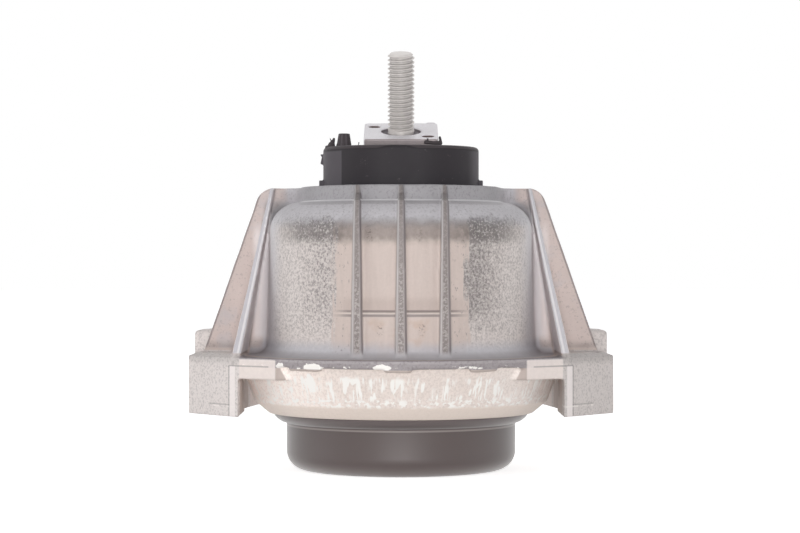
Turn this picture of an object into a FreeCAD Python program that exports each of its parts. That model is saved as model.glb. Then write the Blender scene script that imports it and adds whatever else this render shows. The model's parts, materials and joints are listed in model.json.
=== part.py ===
import FreeCAD, Part
import math
import os

import Sketcher

# Hydraulic engine mount. Origin at the centre of the cap's flat base, +Z up along the axis of
# cap and housing, -Y towards the side that the stud leans to, +X to the right seen from there.

SIZES = {
    # cap
    "cap_radius": 42.2, "cap_base_round": 7.0, "cap_wall": 2.2,
    "lip_radius": 47.2, "lip_drop": 3.6, "lip_round": 6.0, "spigot_rise": 6.0, "spigot_wall": 2.4,
    # heights of the housing
    "seat_height": 21.0, "flange_height": 42.3, "top_height": 103.7,
    # bell
    "bell_radius": 49.6, "bell_draft": 1.1, "shoulder_round": 11.0, "neck_height": 5.6, "neck_draft": 0.4,
    "bell_wall": 4.0, "top_wall": 5.2, "base_round": 4.5,
    # flange and collar
    "flange_radius": 61.6, "flange_edge": 2.9, "flange_undercut": 2.4,
    "collar_radius": 54.0, "collar_rise": 4.4, "collar_base_radius": 48.8,
    # bore for the bonded spring and the channel plates
    "bore_radius": 46.0, "bore_depth": 41.0, "press_gap": 0.05,
    # ledge on the front and back of the bell
    "ledge_height": 58.6, "ledge_radius": 44.0, "ledge_step": 0.5,
    # wing walls
    "wing_top_width": 104.4, "wing_base_width": 147.4, "wing_round": 6.5,
    "wing_front": 6.0, "wing_thickness": 6.5, "wing_fillet": 4.0,
    # gusset fins on the wings
    "fin_top_offset": 47.8, "fin_base_offset": 59.0, "fin_top_width": 1.3, "fin_base_width": 3.2,
    "fin_top_depth": 4.0, "fin_base_depth": 37.0, "fin_back_depth": 26.0,
    # ribs on the bell
    "rib_spacing": 15.4, "rib_top_width": 2.2, "rib_base_width": 4.0, "rib_stand": 2.2, "rib_lead": 0.9,
    # feet
    "foot_inner": 58.0, "foot_width": 19.6, "foot_front": 33.0, "foot_skew": 23.0,
    "foot_back": 1.5, "foot_rise": 22.4, "foot_round": 4.4,
    "lug_inner": 59.0, "lug_width": 18.7, "lug_start": 15.0, "lug_length": 33.0, "lug_skew": 10.0,
    "lug_rise": 29.6, "lug_tail": 5.0, "lug_round": 1.4,
    "ear_thickness": 7.6, "ear_root": 44.0,
    "bolt_spacing_x": 137.0, "bolt_spacing_y": 34.0, "bolt_centre_y": 9.5, "bolt_hole_radius": 4.5,
    # opening in the top plate and the rubber buffer in it
    "buffer_length": 57.5, "buffer_width": 46.0, "buffer_gap": 0.5,
    "buffer_round": 1.4, "buffer_dish": 1.2, "buffer_rim": 3.6,
    "bumper_stand": 3.8, "bumper_thickness": 6.0, "bumper_gap": 1.2,
    "tab_stand": 1.4, "tab_width": 9.0, "tab_height": 2.6, "overcut": 1.0,
    # core
    "head_height": 124.7, "head_stand": 6.2, "head_tilt": 16.0, "head_width": 27.2, "head_depth": 28.0,
    "head_thickness": 15.0, "head_round": 1.5,
    "neck_width": 22.0, "neck_drop": 11.7, "core_disc_radius": 22.0, "core_disc_height": 4.0,
    "core_cone_radius": 11.0, "core_cone_length": 20.0,
    "recess_radius": 7.35, "recess_depth": 1.6,
    "locator_radius": 2.3, "locator_depth": 6.0, "locator_spacing_x": 19.8, "locator_spacing_y": 16.2,
    # stud, M10
    "stud_radius": 4.925, "stud_length": 29.2, "stud_grip": 17.0, "stud_tip": 1.1, "stud_end_gap": 1.0,
    "stud_relief_width": 1.0, "stud_relief_depth": 0.5,
    # bonded spring
    "ring_wall": 2.0, "ring_lean": 2.2, "ring_foot_width": 6.6, "ring_foot_height": 2.0,
    "spring_lip": 4.0, "spring_lip_height": 2.4, "spring_roof_radius": 40.0, "spring_sag_radius": 60.0,
    # channel plates and decoupler
    "lower_plate": 5.4, "upper_plate": 4.4, "track_inner": 30.0, "track_width": 8.0, "track_depth": 3.4,
    "track_stop": 8.0, "port_radius": 3.2,
    "membrane_radius": 24.0, "membrane_thickness": 2.4, "membrane_rim": 2.0, "membrane_rim_height": 3.4,
    "window_radius": 3.2, "window_ring_radius": 13.5,
    # bellows
    "bead_height": 3.4, "bellows_wall": 1.6, "bellows_radius": 38.0, "bellows_depth": 19.0,
    "bellows_roll": 4.0, "bellows_crown": 6.0, "bellows_slope": 8.0, "bellows_top_radius": 8.0,
    "bead_ring_width": 2.4, "bead_ring_height": 1.4, "bead_ring_inset": 0.5,
}

WINDOWS = 8
RIBS = (-1, 0, 1)
TOUCH = 0.01  # mm within which an edge counts as lying on a plane
STEEP = 0.25  # least rise over run of an edge that runs down the bell

doc = FreeCAD.newDocument("engine_mount")


def make_sheet():
    """Driving dimensions in millimetres and degrees, one named cell each."""
    sheet = doc.addObject("Spreadsheet::Sheet", "dim")
    for row, (name, size) in enumerate(SIZES.items(), start=1):
        sheet.set("A%d" % row, name)
        sheet.set("B%d" % row, str(size))
        sheet.setAlias("B%d" % row, name)
    doc.recompute()
    return sheet


SHEET = make_sheet()

# Sizes that several pieces share, worked out from the sheet.
NECK_RADIUS = "(dim.bell_radius - dim.bell_draft - dim.shoulder_round)"
NECK_BASE = "(dim.top_height - dim.neck_height)"
SHOULDER = "(dim.top_height - dim.neck_height - dim.shoulder_round)"
CEILING = "(dim.top_height - dim.top_wall)"
BORE_TOP = "(dim.seat_height + dim.bore_depth)"
STACK_RADIUS = "(dim.bore_radius - dim.press_gap)"
SPIGOT_TOP = "(dim.seat_height + dim.spigot_rise)"
BEAD_TOP = "(dim.seat_height + dim.spigot_rise + dim.bead_height)"
PLATE_JOINT = "(dim.seat_height + dim.spigot_rise + dim.bead_height + dim.lower_plate)"
PLATE_TOP = "(dim.seat_height + dim.spigot_rise + dim.bead_height + dim.lower_plate + dim.upper_plate)"
BUFFER_TOP = "(dim.head_height - dim.head_stand)"
DISC_TOP = "(dim.top_height - dim.top_wall - dim.bumper_gap - dim.bumper_thickness)"


def value(text):
    """Number that an expression gives with the sheet's present sizes."""
    return float(SHEET.evalExpression(text))


def point(place):
    return FreeCAD.Vector(value(place[0]), value(place[1]), 0)


def new_body(name):
    body = doc.addObject("PartDesign::Body", name)
    body.Label = name
    return body


def new_sketch(body, name, role="XZ_Plane", offset="0"):
    """Sketch on one of the body's own origin planes, moved along the plane's normal by offset."""
    sketch = body.newObject("Sketcher::SketchObject", name)
    plane = next(item for item in body.Origin.OriginFeatures if item.Role == role)
    sketch.AttachmentSupport = [(plane, "")]
    sketch.MapMode = "FlatFace"
    sketch.setExpression(".AttachmentOffset.Base.z", offset)
    return sketch


def pin_point(sketch, edge, end, place):
    """Hold one end or centre of an edge at a place given by two expressions."""
    for kind, text in zip(("DistanceX", "DistanceY"), place):
        index = sketch.addConstraint(Sketcher.Constraint(kind, -1, 1, edge, end, value(text)))
        sketch.setExpression("Constraints[%d]" % index, text)


def arc_through(start, stop, radius, side):
    """Minor arc from start to stop that bulges to the left (side 1) or right (side -1)."""
    chord = stop - start
    half = chord.Length / 2
    sagitta = radius - math.sqrt(max(radius * radius - half * half, 0))
    left = FreeCAD.Vector(-chord.y, chord.x, 0).normalize()
    return Part.Arc(start, (start + stop) / 2 + left * side * sagitta, stop)


def draw(sketch, corners, rounds=None):
    """Closed outline. corners are pairs of expressions; rounds maps the edge that starts at a
    corner to (radius expression, side)."""
    rounds = rounds or {}
    places = [point(corner) for corner in corners]
    edges = []
    for index, start in enumerate(places):
        stop = places[(index + 1) % len(places)]
        if index in rounds:
            radius, side = rounds[index]
            shape = arc_through(start, stop, value(radius), side)
        else:
            shape = Part.LineSegment(start, stop)
        edges.append(sketch.addGeometry(shape, False))
    ends = []
    for edge, start in zip(edges, places):
        first = (sketch.getPoint(edge, 1) - start).Length < (sketch.getPoint(edge, 2) - start).Length
        ends.append((1, 2) if first else (2, 1))
    for index, edge in enumerate(edges):
        after = (index + 1) % len(edges)
        joint = Sketcher.Constraint("Coincident", edge, ends[index][1], edges[after], ends[after][0])
        sketch.addConstraint(joint)
        pin_point(sketch, edge, ends[index][0], corners[index])
        if index in rounds:
            radius = rounds[index][0]
            number = sketch.addConstraint(Sketcher.Constraint("Radius", edge, value(radius)))
            sketch.setExpression("Constraints[%d]" % number, radius)


def draw_circle(sketch, centre, radius):
    edge = sketch.addGeometry(Part.Circle(point(centre), FreeCAD.Vector(0, 0, 1), value(radius)), False)
    pin_point(sketch, edge, 3, centre)
    number = sketch.addConstraint(Sketcher.Constraint("Radius", edge, value(radius)))
    sketch.setExpression("Constraints[%d]" % number, radius)


def turned(name, corners, rounds=None):
    """Body of revolution about Z from a half section in X and Z."""
    body = new_body(name)
    sketch = new_sketch(body, name + "_section")
    draw(sketch, corners, rounds)
    turn = body.newObject("PartDesign::Revolution", name + "_turn")
    turn.Profile = sketch
    turn.ReferenceAxis = (sketch, ["V_Axis"])
    turn.Angle = 360
    return body


def pad(body, sketch, length, reverse=False):
    block = body.newObject("PartDesign::Pad", sketch.Name + "_pad")
    block.Profile = sketch
    block.setExpression("Length", length)
    block.Reversed = reverse
    return block


def plate(name, outline, base, thickness, rounds=None):
    """Flat body from a plan outline in X and Y, from height base upwards."""
    body = new_body(name)
    sketch = new_sketch(body, name + "_plan", "XY_Plane", base)
    draw(sketch, outline, rounds)
    pad(body, sketch, thickness)
    return body


def slab(name, outlines, front, depth, rounds=None):
    """Upright body from front-view outlines in X and Z, from Y = front towards the back."""
    body = new_body(name)
    for number, outline in enumerate(outlines):
        sketch = new_sketch(body, "%s_view%d" % (name, number), "XZ_Plane", "-(%s)" % front)
        draw(sketch, outline, rounds)
        pad(body, sketch, depth, reverse=True)
    return body


def boolean(kind, name, base, tool):
    result = doc.addObject("Part::" + kind, name)
    result.Base = base
    result.Tool = tool
    result.Label = name
    return result


def united(name, shapes):
    result = doc.addObject("Part::MultiFuse", name)
    result.Shapes = shapes
    result.Label = name
    return result


def mirrored(name, source):
    """The same shape on the other side of X = 0."""
    twin = doc.addObject("Part::Mirroring", name)
    twin.Source = source
    twin.Normal = FreeCAD.Vector(1, 0, 0)
    return twin


def on_level(edge, height):
    """Whether an edge lies in the horizontal plane at that height."""
    return abs(edge.BoundBox.ZMin - height) < TOUCH and edge.BoundBox.ZLength < TOUCH


def round_edges(name, base, radius, wanted):
    """Part fillet on the edges of base that wanted(edge) picks."""
    doc.recompute()
    result = doc.addObject("Part::Fillet", name)
    result.Base = base
    size = value(radius)
    chosen = [n for n, edge in enumerate(base.Shape.Edges, start=1) if wanted(edge)]
    if not chosen:
        raise RuntimeError("no edge to round on " + name)
    result.Edges = [(number, size, size) for number in chosen]
    result.Label = name
    return result


def racetrack(length, width):
    """Plan outline with round ends, for draw: corners and rounds."""
    half, end = "(%s) / 2" % length, "(%s) / 2" % width
    flat = "(%s) - %s" % (half, end)
    corners = [
        ("-(%s)" % flat, "-(%s)" % end), (flat, "-(%s)" % end), (half, "0"), (flat, end),
        ("-(%s)" % flat, end), ("-(%s)" % half, "0"),
    ]
    return corners, {1: (end, -1), 2: (end, -1), 4: (end, -1), 5: (end, -1)}


def strip(offset_base, offset_top, base_width, top_width):
    """Front-view strip between flange and top edge that narrows upwards."""
    low, high = "dim.flange_height - dim.overcut", "dim.top_height"
    return [
        ("%s - %s / 2" % (offset_base, base_width), low), ("%s + %s / 2" % (offset_base, base_width), low),
        ("%s + %s / 2" % (offset_top, top_width), high), ("%s - %s / 2" % (offset_top, top_width), high),
    ]


def swapped(corners):
    """The same outline on the other side of X = 0."""
    return [("-(%s)" % x, y) for x, y in reversed(corners)]


# Housing ---------------------------------------------------------------------------------------


def housing_shell():
    """Collar, flange, bell, shoulder and neck as one turned solid."""
    return turned("housing_shell", [
        ("0", "dim.seat_height"),
        ("dim.collar_base_radius", "dim.seat_height"),
        ("dim.collar_radius", "dim.seat_height + dim.collar_rise"),
        ("dim.flange_radius - dim.flange_undercut", "dim.flange_height - dim.flange_edge"),
        ("dim.flange_radius", "dim.flange_height - dim.flange_edge"),
        ("dim.flange_radius", "dim.flange_height"),
        ("dim.bell_radius + dim.base_round", "dim.flange_height"),
        ("dim.bell_radius", "dim.flange_height + dim.base_round"),
        ("dim.bell_radius - dim.bell_draft", SHOULDER),
        (NECK_RADIUS, NECK_BASE),
        (NECK_RADIUS + " - dim.neck_draft", "dim.top_height"),
        ("0", "dim.top_height"),
    ], {6: ("dim.base_round", 1), 8: ("dim.shoulder_round", -1)})


def housing_ledges():
    """Shallow steps low on the front and back of the bell, where the mould faces met."""
    ledges = []
    for name, side in (("front_ledge", "-"), ("back_ledge", "")):
        ledge = doc.addObject("Part::Cylinder", name)
        ledge.setExpression("Radius", "dim.ledge_radius")
        ledge.setExpression("Height", "dim.ledge_height - dim.flange_height + dim.overcut")
        shift = side + "(dim.bell_radius + dim.ledge_step - dim.ledge_radius)"
        ledge.setExpression(".Placement.Base.y", shift)
        ledge.setExpression(".Placement.Base.z", "dim.flange_height - dim.overcut")
        ledges.append(ledge)
    return ledges


def housing_wings():
    """One upright wall across the bell, with sloping ends and rounded top corners."""
    wall = slab("wing_wall", [[
        ("-dim.wing_base_width / 2", "dim.flange_height"),
        ("-dim.wing_base_width / 2", "dim.flange_height - dim.overcut"),
        ("dim.wing_base_width / 2", "dim.flange_height - dim.overcut"),
        ("dim.wing_base_width / 2", "dim.flange_height"),
        ("dim.wing_top_width / 2", "dim.top_height"), ("-dim.wing_top_width / 2", "dim.top_height"),
    ]], "dim.wing_front", "dim.wing_thickness")
    top = value("dim.top_height")
    return round_edges("wings", wall, "dim.wing_round",
                       lambda edge: on_level(edge, top) and edge.BoundBox.XLength < TOUCH)


def housing_bell():
    """Shell and wings as one, filleted where the wing wall's two faces run into the bell."""
    bell = united("bell_and_wings", [housing_shell(), housing_wings()])
    faces = (value("dim.wing_front"), value("dim.wing_front + dim.wing_thickness"))
    reach = value("dim.bell_radius + dim.base_round")

    def runs_down_the_bell(edge):
        box = edge.BoundBox
        on_face = box.YLength < TOUCH and min(abs(box.YMin - face) for face in faces) < TOUCH
        inside = max(abs(box.XMin), abs(box.XMax)) < reach and box.ZLength > box.XLength * STEEP
        return on_face and inside and not isinstance(edge.Curve, Part.Circle)

    return round_edges("filleted_bell", bell, "dim.wing_fillet", runs_down_the_bell)


def housing_fins():
    """Gusset fins in front of and behind the wings, thin at the top and deep at the foot."""
    outline = strip("dim.fin_base_offset", "dim.fin_top_offset", "dim.fin_base_width", "dim.fin_top_width")
    reach = "(dim.fin_base_depth + dim.wing_thickness + dim.wing_front)"
    strips = slab("fin_strips", [outline, swapped(outline)], "-" + reach, reach + " * 2")
    body = new_body("fin_side")
    sketch = new_sketch(body, "fin_side_view", "YZ_Plane", "-dim.wing_base_width / 2")
    low, back = "dim.flange_height - dim.overcut", "dim.wing_front + dim.wing_thickness"
    draw(sketch, [
        ("dim.wing_front - dim.fin_base_depth", low), (back + " + dim.fin_back_depth", low),
        (back + " + dim.fin_top_depth", "dim.top_height"),
        ("dim.wing_front - dim.fin_top_depth", "dim.top_height"),
    ])
    pad(body, sketch, "dim.wing_base_width")
    return boolean("Common", "fins", strips, body)


def housing_ribs():
    """Three ribs down the front and three down the back of the bell, standing proud of it."""
    outlines = []
    for place in RIBS:
        offset = "dim.rib_spacing * %d" % place
        outlines.append(strip(offset, offset, "dim.rib_base_width", "dim.rib_top_width"))
    strips = slab("rib_strips", outlines, "-dim.flange_radius", "dim.flange_radius * 2")
    envelope = turned("rib_envelope", [
        ("0", "dim.flange_height - dim.overcut"),
        ("dim.bell_radius + dim.rib_stand", "dim.flange_height - dim.overcut"),
        ("dim.bell_radius - dim.bell_draft + dim.rib_stand", SHOULDER),
        (NECK_RADIUS + " + dim.rib_lead", NECK_BASE + " + dim.rib_stand"),
        (NECK_RADIUS, "dim.top_height"),
        ("0", "dim.top_height"),
    ], {2: ("dim.shoulder_round + dim.rib_stand", -1)})
    return boolean("Common", "ribs", strips, envelope)


def housing_ears():
    """Plate that joins the flange to the feet of one side, foot and rear lug, and their mirror."""
    foot_outer = "(dim.foot_inner + dim.foot_width)"
    lug_outer = "(dim.lug_inner + dim.lug_width)"
    lug_end = "(dim.lug_start + dim.lug_length)"
    root_y = "sqrt(dim.flange_radius ^ 2 - dim.ear_root ^ 2)"
    skew_y = "(dim.foot_skew - dim.foot_front)"
    ear = plate("ear", [
        ("dim.ear_root / 2", "-(%s)" % root_y), ("dim.ear_root", "-(%s)" % root_y),
        ("dim.foot_inner", "-dim.foot_front"), (foot_outer, skew_y),
        (foot_outer, lug_end + " - dim.lug_skew"), (lug_outer + " - dim.lug_skew", lug_end),
        ("dim.lug_inner - dim.lug_tail", lug_end), ("dim.ear_root", root_y),
        ("dim.ear_root / 2", root_y),
    ], "dim.flange_height - dim.ear_thickness", "dim.ear_thickness")
    foot = plate("foot_block", [
        ("dim.foot_inner", "-dim.foot_front"), (foot_outer, skew_y),
        (foot_outer, "dim.foot_back"), ("dim.foot_inner", "dim.foot_back"),
    ], "dim.seat_height", "dim.foot_rise")
    lug = plate("lug_block", [
        ("dim.lug_inner", "dim.lug_start"), (lug_outer, "dim.lug_start"),
        (lug_outer, lug_end + " - dim.lug_skew"), (lug_outer + " - dim.lug_skew", lug_end),
        ("dim.lug_inner - dim.lug_tail", lug_end),
    ], "dim.seat_height", "dim.lug_rise")
    solids = [ear]
    for name, block in (("foot", foot), ("lug", lug)):
        top = value("dim.seat_height + dim.%s_rise" % name)
        inner_third = value("dim.%s_inner + dim.%s_width / 3" % (name, name))
        solids.append(round_edges(
            "rounded_" + name, block, "dim.%s_round" % name,
            lambda edge, top=top, inner_third=inner_third:
            on_level(edge, top) and edge.CenterOfMass.x > inner_third))
    side = united("ear_right", solids)
    return [side, mirrored("ear_left", side)]


def housing_cavity():
    """Bore for the stack, bell cavity above it and the recess for the bumper."""
    inner = "(dim.bell_radius - dim.bell_draft - dim.bell_wall)"
    return turned("cavity", [
        ("0", "dim.seat_height - dim.overcut"), ("dim.bore_radius", "dim.seat_height - dim.overcut"),
        ("dim.bore_radius", BORE_TOP), (inner, BORE_TOP), (inner, SHOULDER),
        (NECK_RADIUS, NECK_BASE + " - dim.bell_wall"),
        (NECK_RADIUS + " - dim.bell_wall", NECK_BASE + " - dim.bell_wall"),
        (NECK_RADIUS + " - dim.bell_wall", CEILING), ("0", CEILING),
    ], {4: ("dim.shoulder_round - dim.bell_wall", -1)})


def housing_opening():
    """Opening in the top plate, a buffer gap larger than the buffer all round."""
    corners, rounds = racetrack("dim.buffer_length + 2 * dim.buffer_gap",
                                "dim.buffer_width + 2 * dim.buffer_gap")
    return plate("opening", corners, CEILING + " - dim.overcut",
                 "dim.top_wall + 2 * dim.overcut", rounds)


def bolt_holes():
    body = new_body("bolt_holes")
    for number, (side, end) in enumerate(((-1, -1), (1, -1), (-1, 1), (1, 1))):
        sketch = new_sketch(body, "bolt_hole%d" % number, "XY_Plane", "dim.seat_height - dim.overcut")
        centre = ("%d * dim.bolt_spacing_x / 2" % side,
                  "dim.bolt_centre_y + %d * dim.bolt_spacing_y / 2" % end)
        draw_circle(sketch, centre, "dim.bolt_hole_radius")
        pad(body, sketch, "dim.lug_rise + 2 * dim.overcut")
    return body


def make_housing():
    metal = united("housing_solid", [housing_bell(), *housing_ledges(), housing_fins(),
                                     housing_ribs(), *housing_ears()])
    spaces = united("housing_spaces", [housing_cavity(), housing_opening(), bolt_holes()])
    return boolean("Cut", "housing", metal, spaces)


# Core, stud and stop buffer --------------------------------------------------------------------


def lean(item):
    """Place an item made at the origin on the head's face, leaning towards -Y."""
    item.Placement = FreeCAD.Placement(FreeCAD.Vector(), FreeCAD.Rotation(FreeCAD.Vector(1, 0, 0), 1))
    item.setExpression(".Placement.Base.z", "dim.head_height")
    item.setExpression(".Placement.Rotation.Angle", "dim.head_tilt")
    return item


def make_head():
    """Square head with the stud hole, its recess and two locating holes, in its own frame."""
    half, deep, cut = "dim.head_width / 2", "dim.head_depth / 2", "dim.head_round"
    corners = [
        ("-%s + %s" % (half, cut), "-" + deep), ("%s - %s" % (half, cut), "-" + deep),
        (half, "-%s + %s" % (deep, cut)), (half, "%s - %s" % (deep, cut)),
        ("%s - %s" % (half, cut), deep), ("-%s + %s" % (half, cut), deep),
        ("-" + half, "%s - %s" % (deep, cut)), ("-" + half, "-%s + %s" % (deep, cut)),
    ]
    rounds = {edge: (cut, -1) for edge in (1, 3, 5, 7)}
    return lean(plate("head", corners, "-dim.head_thickness", "dim.head_thickness", rounds))


def head_holes():
    """Stud hole with its recess, and the two locating holes, to be cut from head and neck."""
    grip = "(dim.recess_depth + dim.stud_grip + dim.stud_end_gap)"
    stud_hole = turned("stud_hole", [
        ("0", "-" + grip), ("dim.stud_radius", "-" + grip), ("dim.stud_radius", "-dim.recess_depth"),
        ("dim.recess_radius", "-dim.recess_depth"), ("dim.recess_radius", "dim.overcut"),
        ("0", "dim.overcut"),
    ])
    body = new_body("locators")
    for number, side in enumerate((-1, 1)):
        sketch = new_sketch(body, "locator%d" % number, "XY_Plane", "-dim.locator_depth")
        centre = ("%d * dim.locator_spacing_x / 2" % side, "%d * dim.locator_spacing_y / 2" % -side)
        draw_circle(sketch, centre, "dim.locator_radius")
        pad(body, sketch, "dim.locator_depth + dim.overcut")
    return united("head_spaces", [lean(stud_hole), lean(body)])


def make_core():
    """Bonding cone and disc, neck and leaning head as one casting: undrilled, then drilled."""
    base = DISC_TOP + " - dim.core_disc_height"
    cone = turned("core_cone", [
        ("0", base + " - dim.core_cone_length"),
        ("dim.core_cone_radius", base + " - dim.core_cone_length"),
        ("dim.core_disc_radius", base), ("dim.core_disc_radius", DISC_TOP), ("0", DISC_TOP),
    ])
    half = "dim.neck_width / 2"
    neck = plate("core_neck", [("-" + half, "-" + half), (half, "-" + half), (half, half),
                               ("-" + half, half)],
                 DISC_TOP + " - dim.overcut", "dim.head_height - dim.neck_drop - %s + dim.overcut" % DISC_TOP)
    metal = united("core_solid", [cone, neck, make_head()])
    return metal, boolean("Cut", "core", metal, head_holes())


def make_stud():
    """Rod of the thread's outer diameter, chamfered at both ends and relieved above the recess."""
    grip = "(dim.recess_depth + dim.stud_grip)"
    relief = "dim.stud_radius - dim.stud_relief_depth"
    return lean(turned("stud", [
        ("0", "-" + grip), ("dim.stud_radius - dim.stud_tip", "-" + grip),
        ("dim.stud_radius", "dim.stud_tip - %s" % grip), ("dim.stud_radius", "-dim.recess_depth"),
        (relief, "-dim.recess_depth"), (relief, "dim.stud_relief_width - dim.recess_depth"),
        ("dim.stud_radius", "dim.stud_relief_width - dim.recess_depth"),
        ("dim.stud_radius", "dim.stud_length - dim.stud_tip"),
        ("dim.stud_radius - dim.stud_tip", "dim.stud_length"), ("0", "dim.stud_length"),
    ]))


def make_buffer(undrilled_core):
    """Rubber sleeve round neck and head: dished top, two side tabs and the bumper under the plate."""
    corners, rounds = racetrack("dim.buffer_length", "dim.buffer_width")
    sleeve = plate("buffer_sleeve", corners, DISC_TOP, "%s - %s" % (BUFFER_TOP, DISC_TOP), rounds)
    top = value(BUFFER_TOP)
    rounded = round_edges("buffer_rounded", sleeve, "dim.buffer_round",
                          lambda edge: on_level(edge, top))
    corners, rounds = racetrack("dim.buffer_length + 2 * dim.bumper_stand",
                                "dim.buffer_width + 2 * dim.bumper_stand")
    bumper = plate("bumper", corners, DISC_TOP, "dim.bumper_thickness", rounds)
    tab_x, tab_y = "(dim.buffer_length / 2 + dim.tab_stand)", "dim.tab_width / 2"
    tabs = plate("tabs", [("-" + tab_x, "-" + tab_y), (tab_x, "-" + tab_y), (tab_x, tab_y),
                          ("-" + tab_x, tab_y)], "dim.top_height", "dim.tab_height")
    corners, rounds = racetrack("dim.buffer_length - 2 * dim.buffer_rim",
                                "dim.buffer_width - 2 * dim.buffer_rim")
    dish = plate("dish", corners, BUFFER_TOP + " - dim.buffer_dish",
                 "dim.buffer_dish + dim.overcut", rounds)
    rubber = united("buffer_solid", [rounded, bumper, tabs])
    dished = boolean("Cut", "buffer_dished", rubber, dish)
    return boolean("Cut", "stop_buffer", dished, undrilled_core)


# Bonded spring ---------------------------------------------------------------------------------


def make_spring_ring():
    inner = STACK_RADIUS + " - dim.ring_wall"
    foot = STACK_RADIUS + " - dim.ring_foot_width"
    return turned("spring_ring", [
        (foot, PLATE_TOP), (STACK_RADIUS, PLATE_TOP), (STACK_RADIUS, BORE_TOP), (inner, BORE_TOP),
        (inner + " - dim.ring_lean", PLATE_TOP + " + dim.ring_foot_height"),
        (foot, PLATE_TOP + " + dim.ring_foot_height"),
    ])


def make_main_spring():
    """Rubber between the ring's inner faces and the core's cone, arched over the upper chamber."""
    inner = STACK_RADIUS + " - dim.ring_wall"
    foot = STACK_RADIUS + " - dim.ring_foot_width"
    cone_top = DISC_TOP + " - dim.core_disc_height"
    return turned("main_spring", [
        (foot + " - dim.spring_lip", PLATE_TOP), (foot, PLATE_TOP),
        (foot, PLATE_TOP + " + dim.ring_foot_height"),
        (inner + " - dim.ring_lean", PLATE_TOP + " + dim.ring_foot_height"), (inner, BORE_TOP),
        ("dim.core_disc_radius", cone_top),
        ("dim.core_cone_radius", cone_top + " - dim.core_cone_length"),
        (foot + " - dim.spring_lip", PLATE_TOP + " + dim.spring_lip_height"),
    ], {4: ("dim.spring_sag_radius", 1), 6: ("dim.spring_roof_radius", 1)})


# Channel plates and decoupler ------------------------------------------------------------------


def cut_down(body, sketch, depth, reverse=False):
    pocket = body.newObject("PartDesign::Pocket", sketch.Name + "_cut")
    pocket.Profile = sketch
    pocket.setExpression("Length", depth)
    pocket.Reversed = reverse
    return pocket


def channel_plate(name, base, thickness, recess_up, port_side):
    """Plate with a seat for the membrane, a ring of windows and a port to the channel."""
    top = "%s + %s" % (base, thickness)
    body = new_body(name)
    sketch = new_sketch(body, name + "_disc", "XY_Plane", base)
    draw_circle(sketch, ("0", "0"), STACK_RADIUS)
    pad(body, sketch, thickness)
    seat = new_sketch(body, name + "_seat", "XY_Plane", top if recess_up else base)
    draw_circle(seat, ("0", "0"), "dim.membrane_radius")
    cut_down(body, seat, "dim.membrane_rim_height / 2", reverse=not recess_up)
    centre = new_sketch(body, name + "_centre", "XY_Plane", top)
    draw_circle(centre, ("0", "0"), "dim.window_radius")
    cut_down(body, centre, thickness)
    port = new_sketch(body, name + "_port", "XY_Plane", top)
    middle = "dim.track_inner + dim.track_width / 2"
    draw_circle(port, (middle, "%d * (dim.track_stop / 2 + dim.port_radius)" % port_side), "dim.port_radius")
    cut_down(body, port, thickness)
    window = new_sketch(body, name + "_window", "XY_Plane", top)
    draw_circle(window, ("dim.window_ring_radius", "0"), "dim.window_radius")
    first = cut_down(body, window, thickness)
    ring = body.newObject("PartDesign::PolarPattern", name + "_windows")
    ring.Originals = [first]
    ring.Axis = (window, ["N_Axis"])
    ring.Angle = 360
    ring.Occurrences = WINDOWS
    body.Tip = ring
    return body


def make_lower_plate():
    """Lower half, with the damping channel as an open ring groove and the stop across it."""
    body = channel_plate("channel_plate_lower", BEAD_TOP, "dim.lower_plate", True, -1)
    groove = new_sketch(body, "track", "XY_Plane", PLATE_JOINT)
    draw_circle(groove, ("0", "0"), "dim.track_inner")
    draw_circle(groove, ("0", "0"), "dim.track_inner + dim.track_width")
    cut_down(body, groove, "dim.track_depth")
    stop = new_sketch(body, "track_stop", "XY_Plane", PLATE_JOINT + " - dim.track_depth")
    near, far = "dim.track_inner - dim.overcut", "dim.track_inner + dim.track_width + dim.overcut"
    half = "dim.track_stop / 2"
    draw(stop, [(near, "-" + half), (far, "-" + half), (far, half), (near, half)])
    body.Tip = pad(body, stop, "dim.track_depth")
    return body


def make_membrane():
    half, rim = "dim.membrane_thickness / 2", "dim.membrane_rim_height / 2"
    inner = "dim.membrane_radius - dim.membrane_rim"
    return turned("decoupler_membrane", [
        ("0", "%s - %s" % (PLATE_JOINT, half)), (inner, "%s - %s" % (PLATE_JOINT, half)),
        (inner, "%s - %s" % (PLATE_JOINT, rim)), ("dim.membrane_radius", "%s - %s" % (PLATE_JOINT, rim)),
        ("dim.membrane_radius", "%s + %s" % (PLATE_JOINT, rim)), (inner, "%s + %s" % (PLATE_JOINT, rim)),
        (inner, "%s + %s" % (PLATE_JOINT, half)), ("0", "%s + %s" % (PLATE_JOINT, half)),
    ])


# Bellows and cap -------------------------------------------------------------------------------


def make_bellows_ring():
    outer = STACK_RADIUS + " - dim.bead_ring_inset"
    return turned("bellows_ring", [
        (outer + " - dim.bead_ring_width", SPIGOT_TOP), (outer, SPIGOT_TOP),
        (outer, SPIGOT_TOP + " + dim.bead_ring_height"),
        (outer + " - dim.bead_ring_width", SPIGOT_TOP + " + dim.bead_ring_height"),
    ])


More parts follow.
